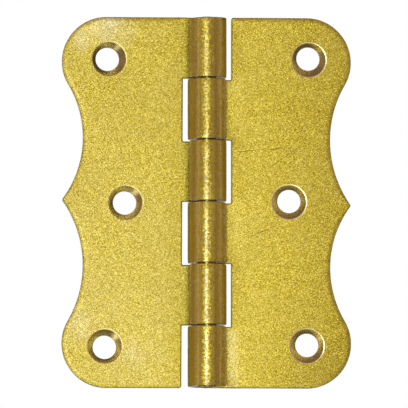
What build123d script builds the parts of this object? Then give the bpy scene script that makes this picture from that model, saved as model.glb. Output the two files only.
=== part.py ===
from build123d import *
import math
import os

# Decorative sheet-metal hinge, open flat. Sizes are in millimetres. The origin is on the pin's axis at mid length,
# +Z runs along the pin, the countersunk faces look towards -Y and the left leaf lies on -X. The right leaf is the
# same pressing turned half round about Y, so its knuckles fill the spaces between the left leaf's knuckles.

# Leaf outline, seen from the front
leaf_height = 60.0
leaf_reach = 23.4        # pin axis to the outermost point of an end lobe
lobe_radius = 7.2
waist_depth = 3.4        # how far each scallop cuts in from the outermost line
tip_rise = 0.4           # of the point where the scallops meet, above mid height on the left leaf
tip_round = 0.4          # on that point
corner_round = 0.3       # on the free corner of the straight edge, beside the other leaf's last knuckle
edge_round = 0.2         # left by the punch all round the front face

# Sheet and roll, seen along the pin
sheet = 1.6
pin_diameter = 3.0
pin_clearance = 0.05     # radial, in every knuckle
closed_gap = 1.0         # between the two front faces when the hinge is shut
notch_line = 3.93        # pin axis to the straight edge that the tabs stand on
bend_line = 3.6          # pin axis to where the tabs start to bend back
seam_angle = 24.0        # degrees in front of the pin axis at which the rolled end stops
seam_round = 0.2         # on the rolled end's two edges

# Knuckles and pin
knuckle_count = 6
knuckle_gap = 0.25       # between neighbouring knuckles
knuckle_chamfer = 0.15   # round the outside of each knuckle's ends
barrel_inset = 0.15      # the barrel's ends lie this far inside the leaf's ends
pin_stand_out = 0.25     # of the pin past the barrel's ends
pin_dome = 0.2           # height of the pin's domed ends

# Screw holes, countersunk on the front
hole_diameter = 3.8
countersink_diameter = 5.4
countersink_angle = 90.0
end_hole_spacing = 46.4
end_hole_reach = 16.3    # pin axis to the two end holes
mid_hole_reach = 13.25   # pin axis to the middle hole

# Worked out from the sizes above
bore_radius = pin_diameter / 2 + pin_clearance
barrel_radius = bore_radius + sheet
front_face = closed_gap / 2
back_face = front_face + sheet
middle_face = front_face + sheet / 2
roll_radius = bore_radius + sheet / 2
bend_radius = (bend_line**2 + middle_face**2 - roll_radius**2) / (2 * (roll_radius - middle_face))
bend_angle = math.degrees(math.asin(bend_line / (roll_radius + bend_radius)))
pitch = leaf_height / knuckle_count


def scallop(direction):
    """Lobe centre and scallop centre of the top (+1) or bottom (-1) half of the shaped edge.

    The scallop is the one arc that touches the lobe, cuts in by waist_depth and ends on the tip."""
    lobe = Vector(lobe_radius - leaf_reach, direction * (leaf_height / 2 - lobe_radius))
    tip_to_lobe = abs(lobe.Y - tip_rise)
    tip_to_waist = tip_to_lobe / 2 - lobe_radius * waist_depth / tip_to_lobe
    radius = (tip_to_waist**2 + waist_depth**2) / (2 * waist_depth)
    return lobe, Vector(waist_depth - leaf_reach - radius, tip_rise + direction * tip_to_waist)


def along(centre, towards, distance):
    return centre + (towards - centre).normalized() * distance


def arc_about(centre, start, end):
    """Arc from start to end about a centre, the short way round."""
    middle = (start + end) / 2
    return ThreePointArc(start, along(centre, middle, (start - centre).length), end)


def plate_outline():
    """Front outline of the flat plate, as a face: two end lobes, two scallops and the straight edge."""
    lobe_top, waist_top = scallop(1)
    lobe_low, waist_low = scallop(-1)
    tip = Vector(-leaf_reach, tip_rise)
    top = leaf_height / 2
    meet_top = along(lobe_top, waist_top, lobe_radius)
    meet_low = along(lobe_low, waist_low, lobe_radius)
    corner_top = Vector(-notch_line, top)
    corner_low = Vector(-notch_line, -top)
    lobe_start = Vector(lobe_top.X, top)
    lobe_end = Vector(lobe_low.X, -top)
    face = make_face([
        Line(corner_top, lobe_start),
        ThreePointArc(lobe_start, along(lobe_top, Vector(-leaf_reach, top), lobe_radius), meet_top),
        arc_about(waist_top, meet_top, tip),
        arc_about(waist_low, tip, meet_low),
        ThreePointArc(meet_low, along(lobe_low, Vector(-leaf_reach, -top), lobe_radius), lobe_end),
        Line(lobe_end, corner_low),
        Line(corner_low, corner_top),
    ])
    face = fillet(face.vertices().sort_by_distance(tip)[:1], tip_round)
    return fillet(face.vertices().sort_by_distance(corner_low)[:1], corner_round)


def plate():
    """Flat plate with its front edge rounded all the way round."""
    outline = Pos(0, back_face, 0) * (Plane.XZ * plate_outline())
    flat = extrude(outline, sheet)
    return fillet(flat.faces().sort_by(Axis.Y)[0].outer_wire().edges(), edge_round)


def roll_section():
    """Section of one tab across the pin: a flat root inside the plate, the backward bend, then the roll."""
    bend = Vector(-bend_line, middle_face + bend_radius)
    root = -notch_line - 2 * edge_round
    roll_start = 90 + bend_angle
    roll_size = -(270 + bend_angle - seam_angle)
    inner_bend = CenterArc(bend, bend_radius + sheet / 2, -90, bend_angle)
    outer_bend = CenterArc(bend, bend_radius - sheet / 2, -90, bend_angle)
    inner_roll = CenterArc((0, 0), bore_radius, roll_start, roll_size)
    outer_roll = CenterArc((0, 0), barrel_radius, roll_start, roll_size)
    section = make_face([
        Line((root, front_face), (-bend_line, front_face)),
        inner_bend,
        inner_roll,
        Line(inner_roll @ 1, outer_roll @ 1),
        outer_roll,
        outer_bend,
        Line((-bend_line, back_face), (root, back_face)),
        Line((root, back_face), (root, front_face)),
    ])
    seam = [section.vertices().sort_by_distance(roll @ 1)[0] for roll in (inner_roll, outer_roll)]
    return fillet(seam, seam_round)


def knuckle(low, high):
    """One rolled tab between two heights, with the outside of its ends broken."""
    tab = extrude(Pos(0, 0, low) * roll_section(), high - low)
    ends = tab.edges().filter_by(GeomType.CIRCLE).filter_by(lambda edge: abs(edge.radius - barrel_radius) < 0.001)
    return chamfer(ends, knuckle_chamfer)


def screw_hole(reach, height):
    """Cutter for one countersunk hole of the left leaf, with its wide end at the front."""
    slope = math.tan(math.radians(countersink_angle / 2))
    depth = (countersink_diameter - hole_diameter) / 2 / slope
    profile = make_face(Polyline(
        (0, -sheet), (countersink_diameter / 2 + sheet * slope, -sheet), (hole_diameter / 2, depth),
        (hole_diameter / 2, 2 * sheet), (0, 2 * sheet), close=True))
    return Pos(-reach, front_face, height) * revolve(profile, Axis.Y)


def left_leaf():
    """One leaf: the plate, its three knuckles and its three screw holes."""
    leaf = plate()
    top = leaf_height / 2
    for row in range(0, knuckle_count, 2):
        high = top - barrel_inset if row == 0 else top - row * pitch - knuckle_gap / 2
        leaf += knuckle(top - (row + 1) * pitch + knuckle_gap / 2, high)
    leaf -= screw_hole(mid_hole_reach, 0)
    for height in (-end_hole_spacing / 2, end_hole_spacing / 2):
        leaf -= screw_hole(end_hole_reach, height)
    return leaf


def hinge_pin():
    """Plain round pin with domed ends, revolved from half of its section."""
    radius = pin_diameter / 2
    end = leaf_height / 2 - barrel_inset + pin_stand_out
    dome_radius = (radius**2 + pin_dome**2) / (2 * pin_dome)
    dome_angle = math.degrees(math.asin(radius / dome_radius))
    section = make_face([
        Line((0, -end), (0, end)),
        JernArc((0, end), (1, 0), dome_radius, -dome_angle),
        Line((radius, end - pin_dome), (radius, pin_dome - end)),
        JernArc((0, -end), (1, 0), dome_radius, dome_angle),
    ])
    return revolve(Plane.XZ * section, Axis.Z)


os.makedirs("parts", exist_ok=True)
leaf = left_leaf()
export_step(leaf, "parts/leaf_left.step")
export_step(leaf.rotate(Axis.Y, 180), "parts/leaf_right.step")
export_step(hinge_pin(), "parts/hinge_pin.step")
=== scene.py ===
# %% [markdown]
# # A decorative sheet hinge
# The real object is two pressed leaves of plated sheet on one plain pin. Each leaf is cut flat, with a
# scalloped outer edge, and three tabs on its straight edge are rolled round the pin as knuckles. The CAD
# model already has the right sizes, so this file only dresses it. Each piece is worked out with numpy in
# millimetres, as whole arrays, and stands where its CAD solid stands. A real pressing is never quite flat,
# so the dressed leaves depart from the solids by up to half a millimetre near their outer corners.

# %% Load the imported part
import math

import bpy
import numpy as np
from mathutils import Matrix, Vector
from mathutils.geometry import delaunay_2d_cdt


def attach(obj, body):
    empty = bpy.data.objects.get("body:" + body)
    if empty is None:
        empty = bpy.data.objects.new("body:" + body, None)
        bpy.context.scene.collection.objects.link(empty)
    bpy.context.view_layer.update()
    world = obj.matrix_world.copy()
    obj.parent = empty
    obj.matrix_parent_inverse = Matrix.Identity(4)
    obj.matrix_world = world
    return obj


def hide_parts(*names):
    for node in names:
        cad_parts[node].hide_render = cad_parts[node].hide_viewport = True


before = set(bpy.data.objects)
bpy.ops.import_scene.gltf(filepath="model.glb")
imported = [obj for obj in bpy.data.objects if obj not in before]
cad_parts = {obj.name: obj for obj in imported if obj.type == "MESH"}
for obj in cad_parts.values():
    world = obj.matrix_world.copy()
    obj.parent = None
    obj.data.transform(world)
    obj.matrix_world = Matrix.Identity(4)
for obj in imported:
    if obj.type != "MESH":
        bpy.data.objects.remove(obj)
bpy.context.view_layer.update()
MM = 0.001

# %% [markdown]
# ## The blank
# A pressing is easiest to think of as the flat blank that it was cut from. A point of the blank has a
# place s across the leaf, a place z along the pin and a height n through the sheet. The outline could be
# a curve drawn by hand, but runs and turns also give each point its outward direction, which the rounded
# edge needs.

# %% Sizes of the blank
leaf_height = 60.0
leaf_reach = 23.4
lobe_radius = 7.2
waist_depth = 3.4
tip_rise = 0.4
tip_round = 0.4
corner_round = 0.32
notch_line = 3.93
notch_round = 0.15
sheet = 1.6


def run(start, end, count):
    """Points evenly spaced from start up to, but not at, end, with the outward side on the right hand.

    Columns: s, z, and the two parts of the outward direction."""
    start = np.array(start, float)
    step = np.array(end, float) - start
    share = np.arange(count)[:, None] / count
    along = step / np.linalg.norm(step)
    outward = np.tile((along[1], -along[0]), (count, 1))
    return np.hstack([start + share * step, outward])


def turn(centre, radius, first, last, count):
    """Points on a circle from one angle up to, but not at, another, in degrees.

    The outward direction leaves the centre where the angle grows, and meets it where the angle falls."""
    angle = np.radians(first + (last - first) * np.arange(count) / count)
    radial = np.column_stack([np.cos(angle), np.sin(angle)])
    return np.hstack([np.array(centre) + radius * radial, np.sign(last - first) * radial])


def bearing(start, end):
    """Angle in degrees of the way from one point to another."""
    return math.degrees(math.atan2(end[1] - start[1], end[0] - start[0]))


print("leaf:", leaf_reach, "by", leaf_height, "mm")

# %% [markdown]
# ## The scalloped edge
# Each end of the leaf is a round lobe, and between the lobes two hollow scallops meet in a point. A
# scallop is the one arc that touches its lobe, cuts in by the waist depth and ends on the point.

# %% Scalloped edge
lobe_steps = 60
scallop_steps = 64
tip_steps = 10


def scallop(direction):
    """Lobe centre, scallop centre and scallop radius of the top (+1) or bottom (-1) half."""
    lobe = np.array([lobe_radius - leaf_reach, direction * (leaf_height / 2 - lobe_radius)])
    tip_to_lobe = abs(lobe[1] - tip_rise)
    tip_to_waist = tip_to_lobe / 2 - lobe_radius * waist_depth / tip_to_lobe
    radius = (tip_to_waist**2 + waist_depth**2) / (2 * waist_depth)
    waist = np.array([waist_depth - leaf_reach - radius, tip_rise + direction * tip_to_waist])
    return lobe, waist, radius


def scalloped_edge():
    """The edge from the top lobe's start, anticlockwise seen from the front, to the bottom lobe's end.

    The point is rounded by a circle that touches both scallops, so its centre is where two circles about the
    scallop centres, each larger by the rounding, cross."""
    lobe_top, waist_top, radius_top = scallop(1)
    lobe_low, waist_low, radius_low = scallop(-1)
    reach_top = radius_top + tip_round
    reach_low = radius_low + tip_round
    span = np.linalg.norm(waist_low - waist_top)
    down = (waist_low - waist_top) / span
    share = (reach_top**2 - reach_low**2 + span**2) / (2 * span)
    across = np.array([-down[1], down[0]])
    tip = waist_top + share * down + math.sqrt(reach_top**2 - share**2) * across
    return np.vstack([
        turn(lobe_top, lobe_radius, 90, bearing(lobe_top, waist_top) + 360, lobe_steps),
        turn(waist_top, radius_top, bearing(waist_top, lobe_top), bearing(waist_top, tip), scallop_steps),
        turn(tip, tip_round, bearing(tip, waist_top), bearing(tip, waist_low) + 360, tip_steps),
        turn(waist_low, radius_low, bearing(waist_low, tip), bearing(waist_low, lobe_low), scallop_steps),
        turn(lobe_low, lobe_radius, bearing(lobe_low, waist_low), 270, lobe_steps),
    ])


shaped = scalloped_edge()
print("scalloped edge:", len(shaped), "points, outermost at", round(shaped[:, 0].min(), 3), "mm")

# %% [markdown]
# ## The tabs
# Three tabs stand on the straight edge. Flat, a tab is a plain strip, as long as the bend and the roll
# are along the middle of the sheet. The first tab's outer side runs slightly askew, as on the real hinge,
# so that the barrel's end slopes away from the leaf's end.

# %% Tabs of the blank
pin_radius = 1.5
bore_radius = 1.55
front_face = 0.5
middle_face = front_face + sheet / 2
roll_radius = bore_radius + sheet / 2
bend_line = 3.6
seam_angle = math.radians(24)
bend_radius = (bend_line**2 + middle_face**2 - roll_radius**2) / (2 * (roll_radius - middle_face))
bend_angle = math.asin(bend_line / (roll_radius + bend_radius))
bend_length = bend_radius * bend_angle
roll_length = roll_radius * (1.5 * math.pi + bend_angle - seam_angle)
tab_end = bend_length + roll_length - bend_line
pitch = 10.0
knuckle_gap = 0.25
end_slope = 0.3
tab_round = 0.3
tab_rows = (4, 2, 0)
roll_steps = 92
end_steps = 8
round_steps = 6
root_steps = 4


def tab_range(row):
    """Lowest and highest z of the tab in a row, counted from the top."""
    top = leaf_height / 2 - row * pitch
    low = top - pitch + knuckle_gap / 2
    high = top - end_slope if row == 0 else top - knuckle_gap / 2
    return low, high


def tab_edge(row):
    """Outline of one tab, from the straight edge below it to the straight edge above it."""
    low, high = tab_range(row)
    root = notch_round - notch_line
    tip = tab_end - tab_round
    parts = [
        turn((root, low - notch_round), notch_round, 180, 90, root_steps),
        run((root, low), (tip, low), roll_steps),
        turn((tip, low + tab_round), tab_round, -90, 0, round_steps),
        run((tab_end, low + tab_round), (tab_end, high - tab_round), end_steps),
        turn((tip, high - tab_round), tab_round, 0, 90, round_steps),
    ]
    if row == 0:
        parts.append(run((tip, high), (root, leaf_height / 2), roll_steps))
    else:
        parts.append(run((tip, high), (root, high), roll_steps))
        parts.append(turn((root, high + notch_round), notch_round, 270, 180, root_steps))
    return np.vstack(parts)


print("tab length:", round(tab_end + notch_line, 3), "mm")

# %% [markdown]
# ## The whole outline
# It goes once round the leaf: shaped edge, bottom, up the straight edge with its tabs, and top.

# %% Outline
straight_steps = 26
notch_steps = 12


def blank_outline():
    """The whole outline, anticlockwise seen from the front, as a closed loop of points."""
    top = leaf_height / 2
    lobe = lobe_radius - leaf_reach
    corner = -notch_line - corner_round
    parts = [
        scalloped_edge(),
        run((lobe, -top), (corner, -top), straight_steps),
        turn((corner, corner_round - top), corner_round, -90, 0, round_steps),
    ]
    height = corner_round - top
    for row in tab_rows:
        low, high = tab_range(row)
        parts.append(run((-notch_line, height), (-notch_line, low - notch_round), notch_steps))
        parts.append(tab_edge(row))
        height = high + notch_round
    parts.append(run((notch_round - notch_line, top), (lobe, top), straight_steps))
    return np.vstack(parts)


outline = blank_outline()
print("outline:", len(outline), "points")

# %% [markdown]
# ## Uneven sheet
# Each leaf leans back and bows a little, low waves and a few dents tilt it, the end of each roll springs
# out, and the shears draw in the tabs' sides. That makes a pressed leaf look like metal and not like
# card. All of it is a height through the sheet, positive towards the back. A displace modifier could do
# it too, but a formula also gives the slopes for the normals.

# %% Unevenness
bow_middle = -14.0
fade_length = 4.0
spring_height = 0.18
spring_length = 0.4
draw_in = 0.04
draw_length = 0.9
draw_ease = 2.0


def unevenness(s, z, bow, waves, dents):
    """Height of the uneven sheet and its slopes along s and z.

    The bow is a slope at the leaf's middle and its change per mm. A wave is a sine: height, radians per mm
    along s and z, start angle. Both fade out at the tabs. A dent is a bell curve: place s and z, radius,
    height. A tab's end springs out along a smooth step. Towards a tab's sides, which repeat every second
    pitch, the sheet draws in by the square of the way past a line near the side."""
    slope, curve = bow
    far = s - bow_middle
    near = -notch_line - bow_middle
    height, turn_s, turn_z, start = np.array(waves).T[:, :, None]
    angle = turn_s * s + turn_z * z + start
    fade = np.clip((-notch_line - s) / fade_length, 0, 1)
    fade = fade * fade * (3 - 2 * fade)
    lift = fade * ((height * np.sin(angle)).sum(0) + slope * (far - near) + curve * (far**2 - near**2) / 2)
    slope_s = fade * ((height * turn_s * np.cos(angle)).sum(0) + slope + curve * far)
    slope_z = fade * (height * turn_z * np.cos(angle)).sum(0)
    place_s, place_z, radius, depth = np.array(dents).T[:, :, None]
    bell = depth * np.exp(-((s - place_s)**2 + (z - place_z)**2) / (2 * radius**2))
    step = np.clip((s - tab_end) / spring_length + 1, 0, 1)
    lift = lift + bell.sum(0) + spring_height * step**2 * (3 - 2 * step)
    slope_s = slope_s - (bell * (s - place_s) / radius**2).sum(0)
    slope_s = slope_s + spring_height * 6 * step * (1 - step) / spring_length
    slope_z = slope_z - (bell * (z - place_z) / radius**2).sum(0)
    from_middle = (z - leaf_height / 2 + 1.5 * pitch) % (2 * pitch) - pitch
    past = np.clip((np.abs(from_middle) - (pitch - knuckle_gap) / 2) / draw_length + 1, 0, 1)
    on_tab = np.clip((s + notch_line) / draw_ease, 0, 1)
    lift = lift - on_tab * draw_in * past**2
    slope_z = slope_z - on_tab * 2 * draw_in * past / draw_length * np.sign(from_middle)
    return lift, slope_s, slope_z


print("rolls spring out by", spring_height, "mm")

# %% [markdown]
# ## Rolling the blank
# A bent sheet keeps its thickness, so one rule carries any point of the blank to its place: follow the
# middle of the sheet by s, then step n through the sheet. The heading turns up at a steady rate along the
# bend and down at a steady rate along the roll.

# %% Rolling rule


def roll_up(blank, normal, uneven):
    """Places in mm and normals of the rolled sheet, from points of the blank (s, z, n) and their normals.

    The heading grows from 0 to the bend angle along the bend, then falls by one radian for each roll radius.
    The middle line is straight, then an arc behind the sheet, then a circle about the pin."""
    s, z, n = blank.T
    lift, slope_s, slope_z = unevenness(s, z, *uneven)
    past = s + bend_line
    heading = np.clip(past / bend_radius, 0, bend_angle) - np.clip(past - bend_length, 0, None) / roll_radius
    sine = np.sin(heading)
    cosine = np.cos(heading)
    curved = np.where(past < bend_length, bend_radius * sine - bend_line, -roll_radius * sine)
    x = np.where(past < 0, s, curved)
    bent = middle_face + bend_radius * (1 - cosine)
    y = np.where(past < bend_length, bent, roll_radius * cosine)
    place = np.column_stack([x - (n + lift) * sine, y + (n + lift) * cosine, z])
    zero = np.zeros_like(s)
    along = np.column_stack([cosine - slope_s * sine, sine + slope_s * cosine, zero])
    upward = np.column_stack([-slope_z * sine, slope_z * cosine, zero + 1])
    through = np.column_stack([-sine - slope_s * cosine, cosine - slope_s * sine, -slope_z])
    turned = normal[:, :1] * along + normal[:, 1:2] * upward + normal[:, 2:] * through
    return place, turned / np.linalg.norm(turned, axis=1)[:, None]


print("bend", round(math.degrees(bend_angle), 2), "degrees at radius", round(bend_radius, 3), "mm")

# %% [markdown]
# ## Sheared edge
# The punch pulls the front of the sheet down for almost a millimetre before it shears, and leaves a small
# round on the back. That edge is a profile carried along the outline. A bevel modifier could round it too,
# but not follow the roll as cleanly. The tabs and the point between the scallops are too narrow for the
# whole pull, so there it is squeezed.

# %% Edge profile
edge_steps = 7
tab_share = 0.35
tab_zone = (-notch_line - 1.5, -notch_line - 0.4)
tip_share = 0.4
tip_zone = (0.7, 3)


def arc(middle, depth, radius, first, last, steps):
    """A round of a section between two tilts of its normal, in degrees: 0 is the front and 180 the back.

    Columns: place, height through the sheet, and the normal's parts along these two."""
    tilt = np.radians(np.linspace(first, last, steps))
    sine = np.sin(tilt)
    cosine = np.cos(tilt)
    return np.column_stack([middle - radius * sine, depth - radius * cosine, -sine, -cosine])


def edge_profile(pull_round, pull_angle, front_round, back_round):
    """Section of the edge, front to back: a long shallow round, a tight one, a wall and the back's round.

    Its places are insets from the outline. The first two rounds touch at the pull's angle."""
    tilt = math.radians(pull_angle)
    wide = pull_round - front_round
    depth = pull_round - sheet / 2
    pull = arc(front_round + wide * math.sin(tilt), depth, pull_round, 0, pull_angle, edge_steps)
    front = arc(front_round, depth - wide * math.cos(tilt), front_round, pull_angle, 90, edge_steps)
    back = arc(back_round, sheet / 2 - back_round, back_round, 90, 180, edge_steps)
    return np.vstack([pull, front[1:], back])


def edge_ease():
    """Share of the edge's full inset at each outline point: less at the tabs and by the point."""
    at_tabs = np.interp(outline[:, 0], tab_zone, (1, tab_share))
    at_tip = np.interp(np.abs(outline[:, 1] - tip_rise), tip_zone, (tip_share, 1))
    by_tip = outline[:, 0] < waist_depth - leaf_reach
    return np.minimum(at_tabs, np.where(by_tip, at_tip, 1))


rim_profile = edge_profile(pull_round=2.9, pull_angle=14, front_round=0.12, back_round=0.08)
print("edge profile:", len(rim_profile), "points, pulled in by", round(rim_profile[0, 0], 2), "mm")

# %% [markdown]
# ## Screw holes
# A screw hole is a profile as well, carried round a circle: a soft rim, the cone for the screw's head, and
# the plain hole. The rim starts with a shallow round, which catches the light as a thin crescent.

# %% Hole profile
hole_radius = 1.9
rim_radius = 2.7
cone_tilt = 45
soft_tilt = 12
rim_steps = 9
foot_steps = 5


def hole_profile(soft_round, rim_round, foot_round):
    """Section of a countersunk hole from the front to the back: soft rim, cone, edge, wall and back edge.

    Its places are radii. The soft round widens the rim up to the soft tilt of the normal."""
    face = -sheet / 2
    half = math.tan(math.radians(cone_tilt / 2))
    soft_sine = math.sin(math.radians(soft_tilt))
    wide = soft_round - rim_round
    rim = arc(rim_radius + rim_round * half, face + rim_round, rim_round, 0, cone_tilt, rim_steps)
    soft = np.minimum(-rim[:, 2], soft_sine)
    rim[:, 0] += wide * (soft_sine - soft)
    rim[:, 1] += wide * (1 - np.sqrt(1 - soft**2))
    depth = face + rim_radius - hole_radius + foot_round * half
    wall = hole_radius + foot_round
    foot = arc(wall, depth, foot_round, cone_tilt, 90, foot_steps)
    back = arc(wall, sheet / 2 - foot_round, foot_round, 90, 180, foot_steps)
    return np.vstack([rim, foot, back])


screw_profile = hole_profile(soft_round=1.1, rim_round=0.14, foot_round=0.08)
print("hole profile:", len(screw_profile), "points")

# %% [markdown]
# ## The two faces
# The faces are filled by a triangulation of their borders with a net of inner points. Where the sheet is
# rolled, the net's columns line up with the border's points, so no triangle cuts across the curve.

# %% Net and filling
holes = np.array([(-16.3, 23.2), (-13.25, 0.0), (-16.3, -23.2)])
net_spacing = 0.9
net_inset = 0.5
net_foot = 0.6
edge_margin = 1.05
hole_margin = 3.5


def band(rows, count):
    """Four corners of each cell of a grid whose rows are closed rings, row after row."""
    here = np.arange(count)
    ahead = (here + 1) % count
    base = np.arange(rows - 1)[:, None] * count
    corners = [base + here, base + ahead, base + count + ahead, base + count + here]
    return np.stack(corners, axis=-1).reshape(-1, 4)


def inner_net():
    """Inner points of the two faces: square cells on the plate, and on each tab the border's own columns.

    The plate keeps points inside the outline that are clear of its edge and of the holes. A tab has two rows
    close to each side, where the sheet draws in, and even rows between them."""
    across = np.arange(-leaf_reach + net_inset, -notch_line - net_inset, net_spacing)
    upward = np.arange(net_foot - leaf_height / 2, leaf_height / 2 - net_inset, net_spacing)
    plate = np.stack(np.meshgrid(across, upward), axis=-1).reshape(-1, 2)
    gap = np.linalg.norm(plate[:, None] - outline[None, :, :2], axis=2)
    nearest = gap.argmin(axis=1)
    inward = ((plate - outline[nearest, :2]) * outline[nearest, 2:]).sum(axis=1) < 0
    clear = np.linalg.norm(plate[:, None] - holes, axis=2).min(axis=1) > hole_margin
    nets = [plate[inward & clear & (gap.min(axis=1) > edge_margin)]]
    columns = np.linspace(notch_round - notch_line, tab_end - tab_round, roll_steps + 1)
    close = np.array([tab_round, 2 * tab_round])
    for row in tab_rows:
        low, high = tab_range(row)
        heights = np.linspace(low + draw_length, high - draw_length, end_steps - 1)
        heights = np.concatenate([low + close, heights, high - close[::-1]])
        nets.append(np.stack(np.meshgrid(columns, heights), axis=-1).reshape(-1, 2))
    return np.vstack(nets)


def fill(points, loops, centres):
    """Triangles between closed border loops and over the inner points, anticlockwise; the holes stay open.

    A triangle lies in a hole where its middle is nearer to a hole's centre than the hole's border is."""
    links = [np.column_stack([loop, np.roll(loop, -1)]) for loop in loops]
    made = delaunay_2d_cdt(points.tolist(), np.vstack(links).tolist(), [], 1, 1e-7)
    triangles = np.array(made[2])
    if len(made[0]) != len(points):
        raise ValueError("the triangulation moved or added points")
    middle = points[triangles].mean(axis=1)
    border = np.linalg.norm(points[loops[1][0]] - centres[0])
    outside = np.linalg.norm(middle[:, None] - centres, axis=2).min(axis=1) > border
    return triangles[outside]


net = inner_net()
print("net:", len(net), "inner points on each face")

# %% [markdown]
# ## The skin of a leaf
# The edge band, the hole walls and the two faces share their border points, so the leaf is one closed
# skin. The normals come from the formulas too, which keeps the faces flat right up to their rounded
# edges. The straight edge of a real leaf runs a little slanted, so it is moved before the blank is
# rolled.

# %% Edge and hole skins
hole_steps = 96
slant_start = -8.0
slant_length = 4.0
slant_end = 0.6


def edge_skin():
    """Blank places and normals of the edge band: one ring of outline points for each point of the profile.

    A point lies its inset inwards from the outline, and its normal adds the outward and the through part."""
    s, z, out_s, out_z = outline.T
    inset, height, in_part, through_part = (column[:, None] for column in rim_profile.T)
    ease = np.where(through_part < 0, edge_ease(), 1)
    inset = inset * ease
    size = np.hypot(in_part, through_part * ease)
    out = -in_part / size
    through = through_part * ease / size
    columns = np.broadcast_arrays(
        s - inset * out_s, z - inset * out_z, height, out * out_s, out * out_z, through)
    return np.stack(columns, axis=-1).reshape(-1, 6)


def spun(profile, steps):
    """Places and normals, ring after ring, of a profile carried round an axis.

    The profile's columns: radius, height, and the normal's parts away from the axis and along it."""
    radius, height, away, along = (column[:, None] for column in profile.T)
    angle = np.linspace(0, 2 * np.pi, steps, endpoint=False)
    cosine = np.cos(angle)
    sine = np.sin(angle)
    columns = np.broadcast_arrays(radius * cosine, radius * sine, height, away * cosine, away * sine, along)
    return np.stack(columns, axis=-1).reshape(-1, 6)


def hole_skin(centre, drift):
    """Blank places, normals and recess marks of one hole.

    The drift moves the rim fully and the hole not at all, so the cone leans: its normal's part through the
    sheet grows or shrinks by the drift's part along the radius over the cone's depth."""
    skin = spun(screw_profile, hole_steps)
    radius, _, out_part, through_part = np.repeat(screw_profile, hole_steps, axis=0).T
    cone = rim_radius - hole_radius
    share = np.clip((radius - hole_radius) / cone, 0, 1)
    sunk = np.clip(-out_part / math.sin(math.radians(cone_tilt)), 0, 1)
    lean = skin[:, :2] @ drift / radius / cone
    skin[:, 5] *= np.where(through_part < 0, 1 + sunk * lean, 1)
    skin[:, 3:] /= np.linalg.norm(skin[:, 3:], axis=1)[:, None]
    skin[:, :2] += centre + share[:, None] * drift
    return skin, sunk


def slant_edge(skin, slant):
    """Moves the straight edge by the slant's first number, and by its second for each mm along the pin.

    The move grows over a few mm of the plate and dies out at the roots of the tabs."""
    grown = np.clip((skin[:, 0] - slant_start) / slant_length, 0, 1)
    left = np.clip((slant_end - notch_line - skin[:, 0]) / slant_end, 0, 1)
    skin[:, 0] += grown * left * (slant[0] + slant[1] * skin[:, 1])


print("edge band:", len(edge_skin()), "points")

# %% [markdown]
# ## Joining the skin
# The parts are stacked in one array, so a border point is the same row for the band and for the face
# beside it. Four marks go with each point, because the finish differs there: the sheared edge, a tab's
# end, the screw's recess and the rolled tab.

# %% Leaf skin


def leaf_skin(uneven, slant, punched, drifts):
    """Places, normals, marks and faces of one leaf, with the faces' corners turned outwards.

    Each mark is how far a point lies on its feature, from 0 to 1."""
    count = len(outline)
    rim = edge_skin()
    parts = [rim]
    cells = [band(len(rim_profile), count)[:, ::-1]]
    front = [np.arange(count)]
    back = [np.arange(count) + count * (len(rim_profile) - 1)]
    start = len(rim)
    sunk = [np.zeros(len(rim))]
    for centre, drift in zip(punched, drifts):
        skin, recess = hole_skin(centre, drift)
        parts.append(skin)
        sunk.append(recess)
        cells.append(band(len(screw_profile), hole_steps) + start)
        front.append(np.arange(hole_steps) + start)
        back.append(np.arange(hole_steps) + start + hole_steps * (len(screw_profile) - 1))
        start += len(skin)
    triangles = []
    for borders, side, centres in ((front, -1, punched + drifts), (back, 1, punched)):
        parts.append(np.hstack([net, np.tile((side * sheet / 2, 0, 0, side), (len(net), 1))]))
        sunk.append(np.zeros(len(net)))
        index = np.concatenate([*borders, np.arange(len(net)) + start])
        start += len(net)
        sizes = np.cumsum([0] + [len(border) for border in borders])
        loops = [np.arange(low, high) for low, high in zip(sizes[:-1], sizes[1:])]
        flat = np.vstack(parts)[index][:, :2]
        found = index[fill(flat, loops, centres)]
        triangles.append(found if side < 0 else found[:, ::-1])
    skin = np.vstack(parts)
    slant_edge(skin, slant)
    place, normal = roll_up(skin[:, :3], skin[:, 3:], uneven)
    recess = np.concatenate(sunk)
    rolled = np.clip(skin[:, 0] + 1, 0, 1)
    edge = np.hypot(skin[:, 3], skin[:, 4]) * (recess == 0)
    marks = {"edge": edge * (1 - rolled), "end": edge * rolled, "recess": recess, "rolled": rolled}
    return place, normal, marks, np.vstack(cells), np.vstack(triangles)


def mesh_object(name, place, faces):
    """A mesh object at the origin from places in metres."""
    mesh = bpy.data.meshes.new(name)
    mesh.from_pydata(place.tolist(), [], faces)
    piece = bpy.data.objects.new(name, mesh)
    bpy.context.scene.collection.objects.link(piece)
    return piece


def solid(name, place, normal, faces):
    """A piece from places in mm, with its own smooth normals."""
    piece = mesh_object(name, place * MM, faces)
    piece.data.polygons.foreach_set("use_smooth", np.ones(len(faces), dtype=bool))
    piece.data.normals_split_custom_set_from_vertices(normal.tolist())
    return piece


def leaf(name, uneven, slant, punched, drifts, half_turn):
    """One leaf. The right leaf is the same pressing after half a turn about Y: x and z change sign."""
    place, normal, marks, cells, triangles = leaf_skin(uneven, slant, punched, drifts)
    if half_turn:
        place = place * (-1, 1, -1)
        normal = normal * (-1, 1, -1)
    piece = solid(name, place, normal, cells.tolist() + triangles.tolist())
    for label, mark in marks.items():
        attribute = piece.data.attributes.new(label, "FLOAT", "POINT")
        attribute.data.foreach_set("value", mark.astype(np.float32))
    print(name, len(place), "points,", 2 * len(cells) + len(triangles), "triangles")
    return piece


print("borders of each face:", 1 + len(holes))

# %% [markdown]
# ## Left leaf
# Each leaf has its own bow, waves and dents. Its holes were punched up to 0.3 mm off their places, and
# the cones, cut later, missed the holes' centres by up to a quarter of a millimetre.

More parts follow.
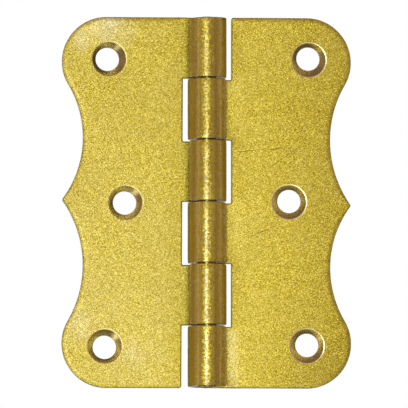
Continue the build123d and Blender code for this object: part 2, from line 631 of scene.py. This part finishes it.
# %% Left leaf
left_bow = (-0.024, -0.0008)
left_waves = [
    (0.03, 0.16, 0.05, 0.4),
    (0.02, -0.10, 0.17, 1.9),
    (0.006, 0.32, 0.26, 0.0),
    (0.004, 0.2, -0.48, 2.5),
]
left_dents = [(-17.0, 33.5, 4.0, -0.3), (-24.0, -27.0, 3.0, -0.06)]
left_slant = (-0.034, 0.0051)
left_punch = np.array([(0.254, 0.008), (0.019, -0.09), (-0.173, -0.245)])
left_drift = np.array([(0.24, 0.0), (0.104, -0.018), (0.007, 0.125)])
left_leaf = leaf(
    "left_leaf_sheet", (left_bow, left_waves, left_dents), left_slant, holes + left_punch, left_drift, False)

# %% [markdown]
# ## Right leaf
# The right leaf's tabs begin to bend a little early. A row of bells along each tab's root makes that
# shallow groove, whose slope catches the light beside the barrel. One more bell lies off the lower outer
# corner and bends it back.

# %% Right leaf
right_bow = (-0.008, 0.0068)
right_waves = [
    (0.03, 0.14, -0.07, 2.2),
    (0.02, 0.12, 0.15, 0.3),
    (0.006, 0.30, -0.29, 1.0),
    (0.004, 0.25, 0.45, 0.7),
]
groove_place = -3.5
groove_radius = 1.1
groove_height = 0.105
right_dents = [(-16.0, 30.0, 3.0, 0.05), (-25.0, 29.0, 6.0, 0.5)]
for row in reversed(tab_rows):
    tab_middle = leaf_height / 2 - (row + 0.5) * pitch
    for step in np.arange(-3.75, 4, 1.5):
        right_dents.append((groove_place, tab_middle + step, groove_radius, groove_height))
right_slant = (-0.042, 0.001)
right_punch = np.array([(0.052, -0.192), (-0.11, -0.279), (-0.176, -0.243)])
right_drift = np.array([(0.035, 0.166), (0.034, 0.185), (-0.086, 0.251)])
right_leaf = leaf(
    "right_leaf_sheet", (right_bow, right_waves, right_dents), right_slant, holes + right_punch, right_drift,
    True)

# %% [markdown]
# ## The pin
# The pin is a length of drawn wire with shallow domed ends. Its section is made of runs and turns, as the
# blank's outline is, and carried round the axis, as the holes are. A small round at each dome's foot keeps
# the edge from looking cut.

# %% Pin
pin_end = 30.1
dome_radius = 5.7
dome_round = 0.14
dome_steps = 6
dome_round_steps = 8
wire_steps = 12
pin_steps = 72


def pin_profile():
    """Section of the pin from near the bottom pole to near the top pole.

    The dome is a ball's cap, and its foot is a small circle that touches both the cap and the wire."""
    ring = pin_radius - dome_round
    foot = math.degrees(math.asin(ring / (dome_radius - dome_round)))
    ball = pin_end - dome_radius
    shoulder = ball + math.sqrt((dome_radius - dome_round)**2 - ring**2)
    return np.vstack([
        turn((0, -ball), dome_radius, -90, foot - 90, dome_steps)[1:],
        turn((ring, -shoulder), dome_round, foot - 90, 0, dome_round_steps),
        run((pin_radius, -shoulder), (pin_radius, shoulder), wire_steps),
        turn((ring, shoulder), dome_round, 0, 90 - foot, dome_round_steps),
        turn((0, ball), dome_radius, 90 - foot, 90, dome_steps),
    ])


def pin_wire():
    """Closed skin of the pin: the profile's rings round the axis, with one pole at each end."""
    skin = spun(pin_profile(), pin_steps)
    count = len(skin)
    here = np.arange(pin_steps)
    ahead = np.roll(here, -1)
    last = count - pin_steps
    cells = band(count // pin_steps, pin_steps)
    low = np.column_stack([ahead, here, np.full(pin_steps, count)])
    top = np.column_stack([last + here, last + ahead, np.full(pin_steps, count + 1)])
    place = np.vstack([skin[:, :3], [(0, 0, -pin_end), (0, 0, pin_end)]])
    normal = np.vstack([skin[:, 3:], [(0, 0, -1), (0, 0, 1)]])
    return place, normal, cells.tolist() + low.tolist() + top.tolist()


pin = solid("pin_wire", *pin_wire())
print("pin:", len(pin.data.vertices), "points, from", -pin_end, "to", pin_end, "mm")

# %% [markdown]
# ## Riding on the CAD bodies
# Each piece stands for one CAD solid and moves with that solid's body: the left leaf and the pin stay, the
# right leaf swings.

# %% Attach the pieces
for piece, node, body, finish in (
    (left_leaf, "leaf_left", "fixed_leaf", "leaf_finish"),
    (right_leaf, "leaf_right", "swing_leaf", "leaf_finish"),
    (pin, "hinge_pin", "fixed_leaf", "pin_finish"),
):
    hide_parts(node)
    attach(piece, body)
    print(piece.name, "stands for", node, "on", body)

# %% [markdown]
# ## Node helpers
# The finishes are drawn by nodes, which stay sharp at any distance. A few short functions place the nodes,
# so that a finish reads like a formula.

# %% Node helpers


def group(name, inputs, outputs):
    """A new shader node group with named sockets, its inputs' sockets inside and its output node."""
    tree = bpy.data.node_groups.new(name, "ShaderNodeTree")
    for label, kind in inputs.items():
        tree.interface.new_socket(label, in_out="INPUT", socket_type="NodeSocket" + kind)
    for label, kind in outputs.items():
        tree.interface.new_socket(label, in_out="OUTPUT", socket_type="NodeSocket" + kind)
    return tree, tree.nodes.new("NodeGroupInput").outputs, tree.nodes.new("NodeGroupOutput")


def feed(tree, node, values):
    """Feeds a node's sockets, by name or number, from other sockets or with plain values."""
    for label, value in values.items():
        if isinstance(value, bpy.types.NodeSocket):
            tree.links.new(value, node.inputs[label])
        else:
            node.inputs[label].default_value = value


def add(tree, kind, values, **settings):
    """A new node of a kind, with its settings and its fed sockets."""
    node = tree.nodes.new("ShaderNode" + kind)
    for label, setting in settings.items():
        setattr(node, label, setting)
    feed(tree, node, values)
    return node


def maths(tree, kind, first, second):
    """A maths node, such as ADD, on two sockets or values."""
    return add(tree, "Math", {0: first, 1: second}, operation=kind).outputs[0]


def times(tree, first, second):
    """The product of two sockets or values."""
    return maths(tree, "MULTIPLY", first, second)


def larger(tree, first, second):
    """The larger of two sockets or values."""
    return maths(tree, "MAXIMUM", first, second)


def vector_maths(tree, kind, first, second, output="Vector"):
    """A vector maths node, such as DISTANCE, on two sockets or values."""
    last = "Scale" if kind == "SCALE" else 1
    return add(tree, "VectorMath", {0: first, last: second}, operation=kind).outputs[output]


def ramp(tree, value, low, high, to_low=0.0, to_high=1.0):
    """A smooth step: value from low to high becomes to_low to to_high."""
    values = {"Value": value, "From Min": low, "From Max": high, "To Min": to_low, "To Max": to_high}
    return add(tree, "MapRange", values, interpolation_type="SMOOTHSTEP").outputs["Result"]


def blend(tree, share, first, second):
    """A mix of two colours by a share."""
    return add(tree, "Mix", {"Factor": share, "A": first, "B": second}, data_type="RGBA").outputs["Result"]


def noise(tree, vector, scale, detail, roughness):
    """A noise texture on a vector socket; its scale is in cells per metre."""
    values = {"Vector": vector, "Scale": scale, "Detail": detail, "Roughness": roughness}
    return add(tree, "TexNoise", values).outputs["Fac"]


print("node groups so far:", len(bpy.data.node_groups))

# %% [markdown]
# ## Grain of the plating
# Barrel plating leaves a metal that sparkles: a field of tiny facets, about a tenth of a millimetre
# across, each tilted its own way. A noise bump would give soft orange-peel instead. So one node group
# cuts the surface into Voronoi cells and leans each cell's normal by the cell's random colour. A second
# set of cells gives each fleck its own tone.

# %% Grain group
facets_per_metre = 10600
flecks_per_metre = 9800


def facets(tree, vector, scale):
    """Random colour of the Voronoi cell at a place; the scale is in cells per metre."""
    return add(tree, "TexVoronoi", {"Vector": vector, "Scale": scale}).outputs["Color"]


grain, entry, exit_ = group(
    "plating_grain", {"Vector": "Vector", "Normal": "Vector", "Tilt": "Float", "Smooth": "Float"},
    {"Normal": "Vector", "Fleck": "Float"})
place = entry["Vector"]
lively = maths(grain, "SUBTRACT", 1.0, entry["Smooth"])
lean = vector_maths(grain, "SUBTRACT", facets(grain, place, facets_per_metre), (0.5, 0.5, 0.5))
lean = vector_maths(grain, "SCALE", lean, times(grain, entry["Tilt"], lively))
leaned = vector_maths(grain, "ADD", entry["Normal"], lean)
leaned = vector_maths(grain, "NORMALIZE", leaned, (0, 0, 0))
split = add(grain, "SeparateColor", {"Color": facets(grain, place, flecks_per_metre)})
fleck = times(grain, maths(grain, "SUBTRACT", split.outputs["Red"], 0.5), lively)
feed(grain, exit_, {"Normal": leaned, "Fleck": maths(grain, "ADD", fleck, 0.5)})
print("grain group:", len(grain.nodes), "nodes")

# %% [markdown]
# ## Tone of the plating
# Thin brass plating is a clean golden yellow, deeper on some flecks and paler on others. Each fleck gets its
# own tone, and large soft clouds shift all of them a little: an even colour would look like plastic.

# %% Tone group
tone, entry, exit_ = group(
    "plating_tone",
    {"Vector": "Vector", "Fleck": "Float", "Clean": "Color", "Deep": "Color", "Pale": "Color"},
    {"Color": "Color", "Cloud": "Float"})
cloud = noise(tone, entry["Vector"], scale=110, detail=4, roughness=0.6)
spread = maths(tone, "ADD", entry["Fleck"], times(tone, cloud, 0.5))
deepened = blend(tone, ramp(tone, spread, 0.2, 0.75), entry["Deep"], entry["Clean"])
paled = blend(tone, ramp(tone, spread, 0.75, 1.25), deepened, entry["Pale"])
feed(tone, exit_, {"Color": paled, "Cloud": cloud})
print("tone group:", len(tone.nodes), "nodes")

# %% [markdown]
# ## Streaks along the pin
# Rolling the tabs and drawing the wire both polish the grain away and leave faint lines along the pin.
# Noise that is stretched along the pin gives such lines, at two widths.

# %% Streak group
streaks, entry, exit_ = group("rolled_streaks", {"Vector": "Vector"}, {"Value": "Float"})
stretched = vector_maths(streaks, "MULTIPLY", entry["Vector"], (1, 1, 0.02))
wide = noise(streaks, stretched, scale=1100, detail=1, roughness=0.5)
fine = noise(streaks, stretched, scale=4200, detail=1, roughness=0.5)
both = maths(streaks, "ADD", times(streaks, wide, 0.6), times(streaks, fine, 0.4))
feed(streaks, exit_, {"Value": ramp(streaks, both, 0.36, 0.64)})
print("streak group:", len(streaks.nodes), "nodes")

# %% [markdown]
# ## Scratches
# A scratch is the set of points close to a line between two places on the leaf, found by projecting on that
# line. A little noise on the place keeps it from being ruler straight, and more noise makes it patchy.

# %% Scratch group
scratch_sway = (0, 0, 0.9 * MM)
scratch, entry, exit_ = group(
    "scratch_line", {"Vector": "Vector", "Start": "Vector", "End": "Vector", "Width": "Float"},
    {"Mask": "Float"})
place = entry["Vector"]
flat_place = vector_maths(scratch, "MULTIPLY", place, (1, 0, 1))
sway = noise(scratch, place, scale=170, detail=2, roughness=0.5)
drift = vector_maths(scratch, "SCALE", scratch_sway, maths(scratch, "SUBTRACT", sway, 0.5))
swayed = vector_maths(scratch, "ADD", flat_place, drift)
path = vector_maths(scratch, "SUBTRACT", entry["End"], entry["Start"])
offset = vector_maths(scratch, "SUBTRACT", swayed, entry["Start"])
reach = vector_maths(scratch, "DOT_PRODUCT", offset, path, "Value")
length = vector_maths(scratch, "DOT_PRODUCT", path, path, "Value")
bounded = add(scratch, "Clamp", {"Value": maths(scratch, "DIVIDE", reach, length)})
nearest = vector_maths(scratch, "SCALE", path, bounded.outputs["Result"])
gap = vector_maths(scratch, "DISTANCE", offset, nearest, "Value")
line_mask = ramp(scratch, gap, 0.0, entry["Width"], 1.0, 0.0)
patchy = ramp(scratch, noise(scratch, place, scale=900, detail=2, roughness=0.6), 0.35, 0.6, 0.5, 1.0)
feed(scratch, exit_, {"Mask": times(scratch, line_mask, patchy)})
print("scratch group:", len(scratch.nodes), "nodes")

# %% [markdown]
# ## Round spots
# A round spot is the set of points near a centre, and noise on the distance gives it a ragged border.
# It marks rubs, painted sheen and a pit.

# %% Spot group
spot, entry, exit_ = group(
    "round_spot", {"Vector": "Vector", "Centre": "Vector", "Radius": "Float"}, {"Mask": "Float"})
place = entry["Vector"]
radius = entry["Radius"]
flat_place = vector_maths(spot, "MULTIPLY", place, (1, 0, 1))
away = vector_maths(spot, "DISTANCE", flat_place, entry["Centre"], "Value")
ragged = times(spot, noise(spot, place, scale=500, detail=3, roughness=0.65), radius)
spread = maths(spot, "ADD", away, ragged)
inner = times(spot, radius, 0.35)
outer = times(spot, radius, 1.5)
feed(spot, exit_, {"Mask": ramp(spot, spread, inner, outer, 1.0, 0.0)})
print("spot group:", len(spot.nodes), "nodes")

# %% [markdown]
# ## Brass plating
# The sheet and the wire have one recipe: a metal whose colour comes from the tone group and whose normals
# come from the grain. A thin clear lacquer lies on top as a coat, so the highlight on the barrel is paler
# than the metal.

# %% Plating recipe


def use(tree, shared, vector, **values):
    """Places a node group in a material, with its vector and its own values."""
    return add(tree, "Group", {"Vector": vector, **values}, node_tree=shared)


def mark(tree, label):
    """One of the marks that the mesh carries."""
    return add(tree, "Attribute", {}, attribute_name=label).outputs["Fac"]


def surface(name):
    """A new material with its node tree and its main shader."""
    material = bpy.data.materials.new(name)
    material.use_nodes = True
    return material, material.node_tree, material.node_tree.nodes["Principled BSDF"]


def plating(name, clean, deep, pale, tilt):
    """A brass-plated metal: its tree and shader, and the place, grain and tone that feed it."""
    material, tree, shader = surface(name)
    place = add(tree, "TexCoord", {}).outputs["Object"]
    normal = add(tree, "NewGeometry", {}).outputs["Normal"]
    grained = use(tree, grain, place, Normal=normal, Tilt=tilt)
    toned = use(tree, tone, place, Fleck=grained.outputs["Fleck"], Clean=clean, Deep=deep, Pale=pale)
    feed(tree, shader, {"Normal": grained.outputs["Normal"], "Metallic": 1.0})
    feed(tree, shader, {"Coat Weight": 0.95, "Coat IOR": 2.0, "Coat Roughness": 0.2})
    return material, tree, shader, place, grained, toned


clean_brass = (0.74, 0.61, 0.05, 1)
deep_brass = (0.40, 0.328, 0.006, 1)
pale_brass = (1.0, 0.92, 0.21, 1)
facet_tilt = 0.24
sheet_brass, tree, shader, place, grained, toned = plating(
    "brass_plated_sheet", clean_brass, deep_brass, pale_brass, facet_tilt)
print("plating:", len(tree.nodes), "nodes")

# %% [markdown]
# ## Smooth and coarse places
# Rolling presses the fine grain half flat and leaves a coarser one, so the knuckles get a second layer of
# larger facets. The cones are smooth, because a drill cut them. The rims of the holes are burnished, more
# so on the right leaf, where they shine as thin crescents.

# %% Grain of knuckles, cones and rims
coarse_scale = 0.55
leaf_change = 4 * MM
recess = mark(tree, "recess")
rolled = mark(tree, "rolled")
corner = add(tree, "SeparateXYZ", {"Vector": place})
across = corner.outputs["X"]
depth = corner.outputs["Y"]
burnish = times(tree, ramp(tree, recess, 0.02, 0.1), ramp(tree, recess, 0.3, 0.6, 1.0, 0.0))
burnish = times(tree, burnish, ramp(tree, across, -leaf_change, leaf_change, 0.3, 1.0))
smooth = larger(tree, times(tree, rolled, 0.5), times(tree, recess, 0.9))
smooth = larger(tree, smooth, times(tree, burnish, 0.85))
feed(tree, grained, {"Smooth": smooth})
coarse = use(
    tree, grain, vector_maths(tree, "SCALE", place, coarse_scale), Normal=grained.outputs["Normal"],
    Tilt=times(tree, rolled, facet_tilt))
feed(tree, shader, {"Normal": coarse.outputs["Normal"]})
print("with grain:", len(tree.nodes), "nodes")

# %% [markdown]
# ## Colour of the knuckles
# The knuckles are painted deeper in colour than the plates: along the streaks, and everywhere on them as
# painted shade on the round barrel. Painted shade browns them from their front round to their sides, a band
# of painted shade lies along each side where it meets the leaf, and the ends between two knuckles are
# painted almost black as shade in the gaps.

# %% Streaks and painted shade
rolled_shade_brass = (0.42, 0.32, 0.012, 1)
side_shade_brown = (0.34, 0.2, 0.05, 1)
seam_shade_black = (0.06, 0.04, 0.02, 1)
gap_shade_black = (0.06, 0.035, 0.014, 1)
streaked = use(tree, streaks, place).outputs["Value"]
# Painted shade: the whole knuckle is blended a little towards a deeper brass, more along the real streaks.
shade = times(tree, ramp(tree, streaked, 0.0, 1.0, 0.14, 0.5), rolled)
colour = blend(tree, shade, toned.outputs["Color"], rolled_shade_brass)
# Painted shade: the knuckles' sides, turned away from the light and towards the leaf, are painted browner.
side_shade = times(tree, ramp(tree, depth, -2.3 * MM, -0.4 * MM), rolled)
colour = blend(tree, times(tree, side_shade, 0.25), colour, side_shade_brown)
# Painted shade: a dark band along each knuckle's side, just in front of the leaf.
seam_shade = times(tree, side_shade, ramp(tree, depth, -0.4 * MM, 0.2 * MM, 0.5, 0.0))
seam_shade = times(tree, seam_shade, ramp(tree, depth, -1.6 * MM, -0.8 * MM))
colour = blend(tree, seam_shade, colour, seam_shade_black)
# Painted shade: the knuckles' ends, facing each other across the gaps, are painted almost black.
colour = blend(tree, ramp(tree, mark(tree, "end"), 0.4, 0.9), colour, gap_shade_black)
print("with knuckles:", len(tree.nodes), "nodes")

# %% [markdown]
# ## Rubs, painted sheen and scratches
# The photograph shows pale rubbed places on both leaves, three fine scratches and a pit on the right leaf.
# The large pale places on the left leaf's top and lobes are partly painted sheen, for the lacquer's
# reflection of the light there. They are blended over the plating one after another, on the front of the
# sheet only. A rub takes the flecks that stand out first. The burnished rims are as pale as the rubs.

# %% Rubs, painted sheen and scratches
rubbed_and_sheen_brass = (1.0, 0.95, 0.5, 1)
scratch_brown = (0.28, 0.18, 0.05, 1)


def on_leaf(spot_place):
    """A place across and along the leaves in mm, as a vector in metres with no depth."""
    return spot_place[0] * MM, 0, spot_place[1] * MM


# Painted sheen and rubs: the large pale spots on the left leaf stand partly for the lacquer's reflection.
rubs_and_sheen = 0.0
for centre, radius, weight in (
    ((-15.6, 29.2), 5.6, 1.0),
    ((-20.4, 26.2), 3.2, 0.8),
    ((-20.6, -20.0), 4.4, 0.6),
    ((-12.0, -24.5), 3.0, 0.4),
    ((9.3, 10.1), 0.3, 0.9),
):
    pale_spot = use(tree, spot, place, Centre=on_leaf(centre), Radius=radius * MM)
    rubs_and_sheen = larger(tree, rubs_and_sheen, times(tree, pale_spot.outputs["Mask"], weight))
streak = use(
    tree, scratch, place, Start=on_leaf((4.0, -21.5)), End=on_leaf((4.2, -29.6)), Width=1.4 * MM)
rubs_and_sheen = larger(tree, rubs_and_sheen, times(tree, streak.outputs["Mask"], 0.5))
in_front = ramp(tree, depth, 0.8 * MM, 1.6 * MM, 1.0, 0.0)
rubbed_and_sheen = times(tree, rubs_and_sheen, ramp(tree, grained.outputs["Fleck"], 0.1, 0.8, 0.3, 1.0))
rubbed_and_sheen = larger(tree, rubbed_and_sheen, times(tree, burnish, 0.8))
colour = blend(tree, times(tree, rubbed_and_sheen, in_front), colour, rubbed_and_sheen_brass)
marks = 0.0
for start, end, width in (
    ((5.0, 8.2), (13.8, 8.8), 0.11),
    ((14.8, 8.8), (10.2, 5.7), 0.12),
    ((6.6, -5.8), (11.0, -3.7), 0.09),
):
    line = use(tree, scratch, place, Start=on_leaf(start), End=on_leaf(end), Width=width * MM)
    marks = larger(tree, marks, line.outputs["Mask"])
pit = use(tree, spot, place, Centre=on_leaf((10.35, 10.05)), Radius=0.34 * MM)
marks = times(tree, larger(tree, marks, pit.outputs["Mask"]), in_front)
colour = blend(tree, times(tree, marks, 0.9), colour, scratch_brown)
print("with wear:", len(tree.nodes), "nodes")

# %% [markdown]
# ## Edges, cones and lacquer
# The sheared edges and the cones come last: both are darker and smoother than the faces. The cones' darker
# colour is partly painted shade in the recess. The lacquer is thin and lies in flecks, thinner on the right
# leaf, and it is thickest on the knuckles.

# %% Edges, cones and lacquer
edge_brass = (0.42, 0.30, 0.06, 1)
cone_shade_brass = (0.51, 0.43, 0.19, 1)
sheared = ramp(tree, mark(tree, "edge"), 0.4, 1.0)
colour = blend(tree, times(tree, sheared, 0.5), colour, edge_brass)
# Painted shade: the cones' cut metal is painted darker and browner, as in the hollow of the recess.
colour = blend(tree, times(tree, recess, 0.85), colour, cone_shade_brass)
rough = ramp(tree, toned.outputs["Cloud"], 0.3, 0.7, 0.43, 0.49)
for feature, polish in ((rolled, 0.08), (recess, 0.14), (sheared, 0.2), (burnish, 0.12)):
    rough = maths(tree, "SUBTRACT", rough, times(tree, feature, polish))
lacquer = ramp(tree, grained.outputs["Fleck"], 0.1, 0.9, 0.05, 0.3)
lacquer = times(tree, lacquer, ramp(tree, across, -leaf_change, leaf_change, 1.0, 0.3))
rolled_lacquer = times(tree, rolled, ramp(tree, coarse.outputs["Fleck"], 0.25, 0.75, 0.15, 1.0))
lacquer = larger(tree, lacquer, rolled_lacquer)
lacquer = larger(tree, lacquer, times(tree, burnish, 0.6))
feed(tree, shader, {"Base Color": colour, "Roughness": rough, "Coat Weight": lacquer})
left_leaf.data.materials.append(sheet_brass)
right_leaf.data.materials.append(sheet_brass)
print("sheet finish:", len(tree.nodes), "nodes")

# %% [markdown]
# ## Wire finish
# The pin has the same plating over drawn wire. Only its domed ends and slits of its side show, so the
# streaks and a browner tone are enough.

# %% Wire finish
clean_wire = (0.62, 0.47, 0.08, 1)
deep_wire = (0.48, 0.34, 0.04, 1)
wire_tilt = 0.06
wire_brass, tree, shader, place, grained, toned = plating(
    "brass_plated_wire", clean_wire, deep_wire, pale_brass, wire_tilt)
feed(tree, grained, {"Smooth": 0.4})
streaked = use(tree, streaks, place).outputs["Value"]
colour = blend(tree, times(tree, streaked, 0.5), toned.outputs["Color"], edge_brass)
rough = ramp(tree, toned.outputs["Cloud"], 0.3, 0.7, 0.32, 0.4)
feed(tree, shader, {"Base Color": colour, "Roughness": rough})
pin.data.materials.append(wire_brass)
print("materials:", [material.name for material in bpy.data.materials if material.users])

# %% [markdown]
# ## Studio
# The photograph is a plain studio picture on white, with a small soft light beside the lens and dim
# surroundings. The backdrop stands behind the hinge and is white to the camera and to reflections. The
# floor is a pale plane far enough below the held hinge that its shadow stays out of the picture.

# %% Floor and backdrop
floor_z = -0.35
floor_side = 6.0
backdrop_y = 1.8
backdrop_width = 1.4
backdrop_height = 1.05


def panel(name, start, right, up):
    """A flat stage panel from one corner and its two sides, in metres."""
    start = np.array(start)
    side = start + right
    piece = mesh_object(name, np.array([start, side, side + up, start + up]), [(0, 1, 2, 3)])
    return piece


floor = panel("floor", (-floor_side / 2, -floor_side / 2, floor_z), (floor_side, 0, 0), (0, floor_side, 0))
backdrop = panel(
    "backdrop", (-backdrop_width / 2, backdrop_y, floor_z), (backdrop_width, 0, 0), (0, 0, backdrop_height))
pale, tree, shader = surface("pale_floor")
feed(tree, shader, {"Base Color": (0.7, 0.8, 0.8, 1), "Roughness": 0.9})
floor.data.materials.append(pale)

white, tree, shader = surface("white_backdrop")
feed(tree, shader, {"Base Color": (0.8, 0.8, 0.8, 1)})
glow = add(tree, "Emission", {"Strength": 1.0})
rays = add(tree, "LightPath", {})
seen = larger(tree, rays.outputs["Is Camera Ray"], rays.outputs["Is Glossy Ray"])
seen = larger(tree, seen, rays.outputs["Is Transmission Ray"])
either = add(tree, "MixShader", {"Fac": seen, 1: shader.outputs["BSDF"], 2: glow.outputs["Emission"]})
feed(tree, tree.nodes["Material Output"], {"Surface": either.outputs["Shader"]})
backdrop.data.materials.append(white)
print("backdrop", backdrop_y, "m behind the hinge, floor", -floor_z, "m below it")

# %% [markdown]
# ## Light
# The lamp beside the lens gives the leaves their even glow and the barrel its narrow highlight. Three
# weak warm strips, one on the left and two on the right, make the fainter lines on the barrel's flanks.
# Three small cards, one below and two on the left, lift the darkest places. The world is dim and a little
# warm, and dimmer behind the hinge.

# %% Lamps and world
scene = bpy.context.scene
warm = (1.0, 0.82, 0.76)
dim_front = (0.29, 0.188, 0.195, 1)
dim_behind = (0.05, 0.034, 0.035, 1)


def towards(azimuth, elevation, distance):
    """A place at a distance from the origin; azimuth 0 is in front of the leaves, positive to the right."""
    around = math.radians(azimuth)
    above = math.radians(elevation)
    level = math.cos(above)
    return Vector((math.sin(around) * level, -math.cos(around) * level, math.sin(above))) * distance


def lamp(name, place, size, radiance, tint=(1, 1, 1)):
    """A tinted rectangular lamp that faces the hinge; its power is its radiance times pi times its area."""
    data = bpy.data.lights.new(name, "AREA")
    data.shape = "RECTANGLE"
    data.size, data.size_y = size
    data.energy = radiance * math.pi * size[0] * size[1]
    data.color = tint
    piece = bpy.data.objects.new(name, data)
    piece.location = place
    piece.rotation_euler = (-place).to_track_quat("-Z", "Y").to_euler()
    piece.visible_camera = False
    scene.collection.objects.link(piece)


lamp("lens_light", towards(-7.6, -1.8, 1.2), (0.26, 0.26), 11.5)
lamp("left_strip", towards(-57, 5, 0.6), (0.12, 0.7), 0.8, warm)
lamp("right_strip", towards(84, 5, 0.6), (0.14, 0.7), 0.62, warm)
lamp("inner_right_strip", towards(32, 0, 0.6), (0.06, 0.5), 0.6, warm)
lamp("table_card", towards(-5, -33, 0.26), (0.25, 0.06), 1.0)
lamp("left_card", Vector((-0.47, 0.05, 0)), (0.3, 0.6), 0.13, warm)
lamp("low_left_card", Vector((-0.13, -0.02, -0.12)), (0.05, 0.05), 3.0)
world = bpy.data.worlds.new("dim_studio")
world.use_nodes = True
tree = world.node_tree
facing = add(tree, "SeparateXYZ", {"Vector": add(tree, "TexCoord", {}).outputs["Generated"]})
behind = ramp(tree, facing.outputs["Y"], -0.3, 0.6)
feed(tree, tree.nodes["Background"], {"Color": blend(tree, behind, dim_front, dim_behind)})
scene.world = world
print("lamps:", [light.name for light in bpy.data.lights])

# %% [markdown]
# ## Camera
# The camera looks almost straight at the leaves, from far away with a long lens, a little to the left of
# their front and a little below it. The Standard view keeps the colours as they were mixed.

# %% Camera
camera = bpy.data.objects.new("camera", bpy.data.cameras.new("camera"))
scene.collection.objects.link(camera)
camera.data.sensor_width = 36
camera.data.lens = 710.4
target = Vector((-0.46, 0.5, -0.27)) * MM
camera.location = target + towards(-4.2, -4.6, 1.3)
camera.rotation_euler = (target - camera.location).to_track_quat("-Z", "Y").to_euler()
scene.camera = camera
scene.view_settings.view_transform = "Standard"
print("camera", [round(value, 4) for value in camera.location])
